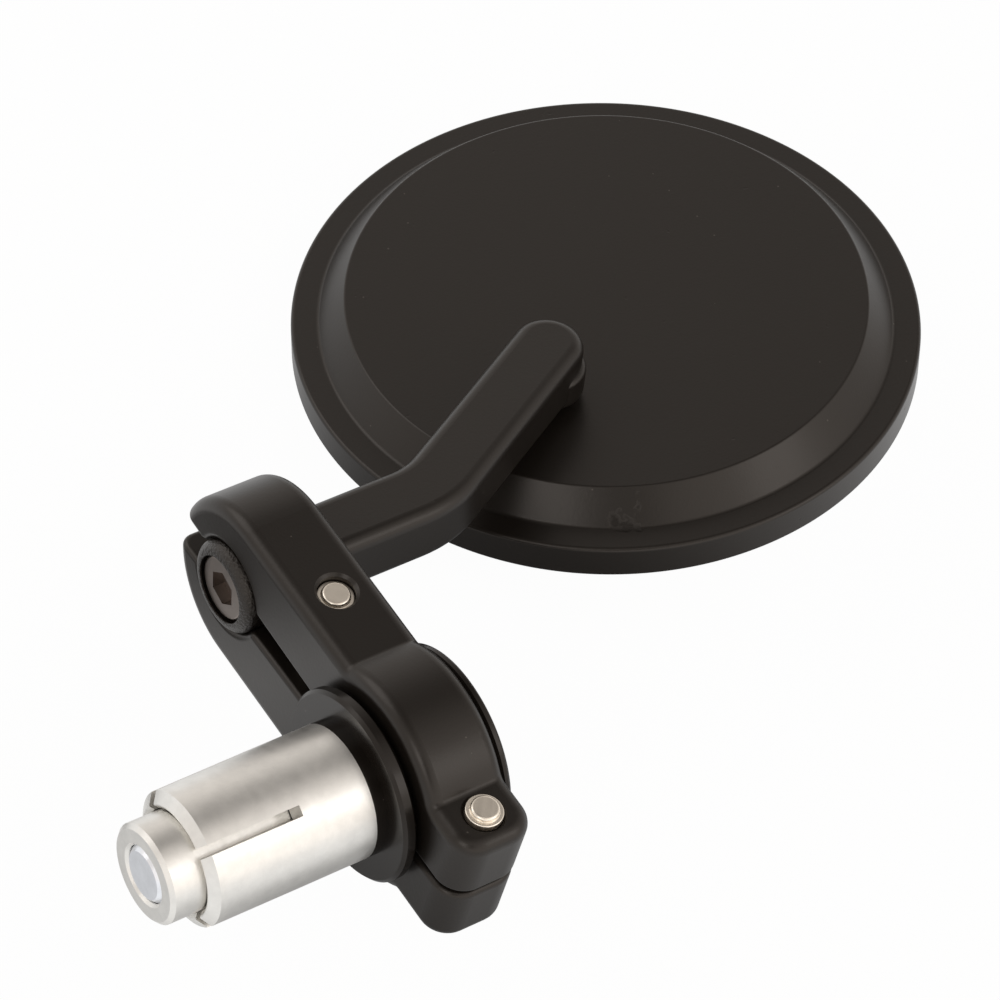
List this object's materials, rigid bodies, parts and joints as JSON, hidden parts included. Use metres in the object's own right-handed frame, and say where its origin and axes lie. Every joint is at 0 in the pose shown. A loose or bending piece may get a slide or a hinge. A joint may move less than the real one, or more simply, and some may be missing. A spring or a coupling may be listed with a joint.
{
  "type": "motorcycle bar end mirror",
  "caption": "Black round bar end mirror with a bent stem, a split clamp and a slotted expanding plug for the bore of a motorcycle handlebar.",
  "frame": {"origin": "on the plug's axis, at the flange face that meets the end of the handlebar", "axes": "+X along the bar's axis, outboard; +Y from the bar's axis to the stem's pivot axis; +Z along the clamp's screws, up"},
  "size_m": [0.1428, 0.1108, 0.0375],
  "materials": {
    "satin_black": "satin black paint",
    "gloss_black": "gloss black anodised",
    "cast_black": "rough black coating",
    "dark_steel": "blackened steel",
    "nickel_steel": "nickel plated",
    "turned_aluminium": "bright turned",
    "zinc_steel": "zinc plated",
    "seat_plastic": "natural acetal",
    "black_rubber": "matt",
    "mirror_coating": "silvered convex glass"
  },
  "bodies": {
    "plug": {"hub": "gloss_black", "outer_cap": "gloss_black", "bolt_washer": "zinc_steel", "expander_sleeve": "turned_aluminium"},
    "bolt": {"expander_bolt": "zinc_steel"},
    "cone": {"expander_cone": "turned_aluminium"},
    "clamp": {"upper_clamp_half": "satin_black", "lower_clamp_half": "satin_black", "arm_screw": "nickel_steel", "ear_screw": "nickel_steel"},
    "stem_arm": {"stem": "satin_black", "pivot_cup": "cast_black", "pivot_screw": "dark_steel", "socket_ring": "dark_steel"},
    "roll_link": {"upper_seat": "seat_plastic"},
    "pitch_link": {"lower_seat": "seat_plastic"},
    "head": {"ball_stud": "zinc_steel", "foot_gasket": "black_rubber", "mirror_housing": "satin_black", "stud_plate": "zinc_steel", "stud_nut": "zinc_steel", "glass_pad": "black_rubber", "mirror_glass": "mirror_coating"}
  },
  "joints": [
    {"name": "bolt_turn", "type": "hinge", "parent": "plug", "child": "bolt", "pos_m": [0, 0, 0], "axis": [1, 0, 0], "range_deg": [-370, 370]},
    {"name": "cone_slide", "type": "slide", "parent": "plug", "child": "cone", "axis": [1, 0, 0], "range_m": [-0.001, 0.001]},
    {"name": "clamp_turn", "type": "hinge", "parent": "plug", "child": "clamp", "pos_m": [0, 0, 0], "axis": [1, 0, 0], "continuous": true},
    {"name": "stem_turn", "type": "hinge", "parent": "clamp", "child": "stem_arm", "pos_m": [0, 0.0304, 0], "axis": [1, 0, 0], "continuous": true},
    {"name": "head_roll", "type": "hinge", "parent": "stem_arm", "child": "roll_link", "pos_m": [0.05837, 0.04432, -0.00322], "axis": [0.8842, 0.4614, -0.0731], "range_deg": [-6, 6]},
    {"name": "head_pitch", "type": "hinge", "parent": "roll_link", "child": "pitch_link", "pos_m": [0.05837, 0.04432, -0.00322], "axis": [-0.4665, 0.8637, -0.1908], "range_deg": [-6, 6]},
    {"name": "head_spin", "type": "hinge", "parent": "pitch_link", "child": "head", "pos_m": [0.05837, 0.04432, -0.00322], "axis": [-0.1169, 0.1537, 0.9812], "range_deg": [-45, 45]}
  ],
  "couplings": [
    {"joint": "bolt_turn", "follows": "cone_slide", "rad_per_m": -6283.2}
  ]
}
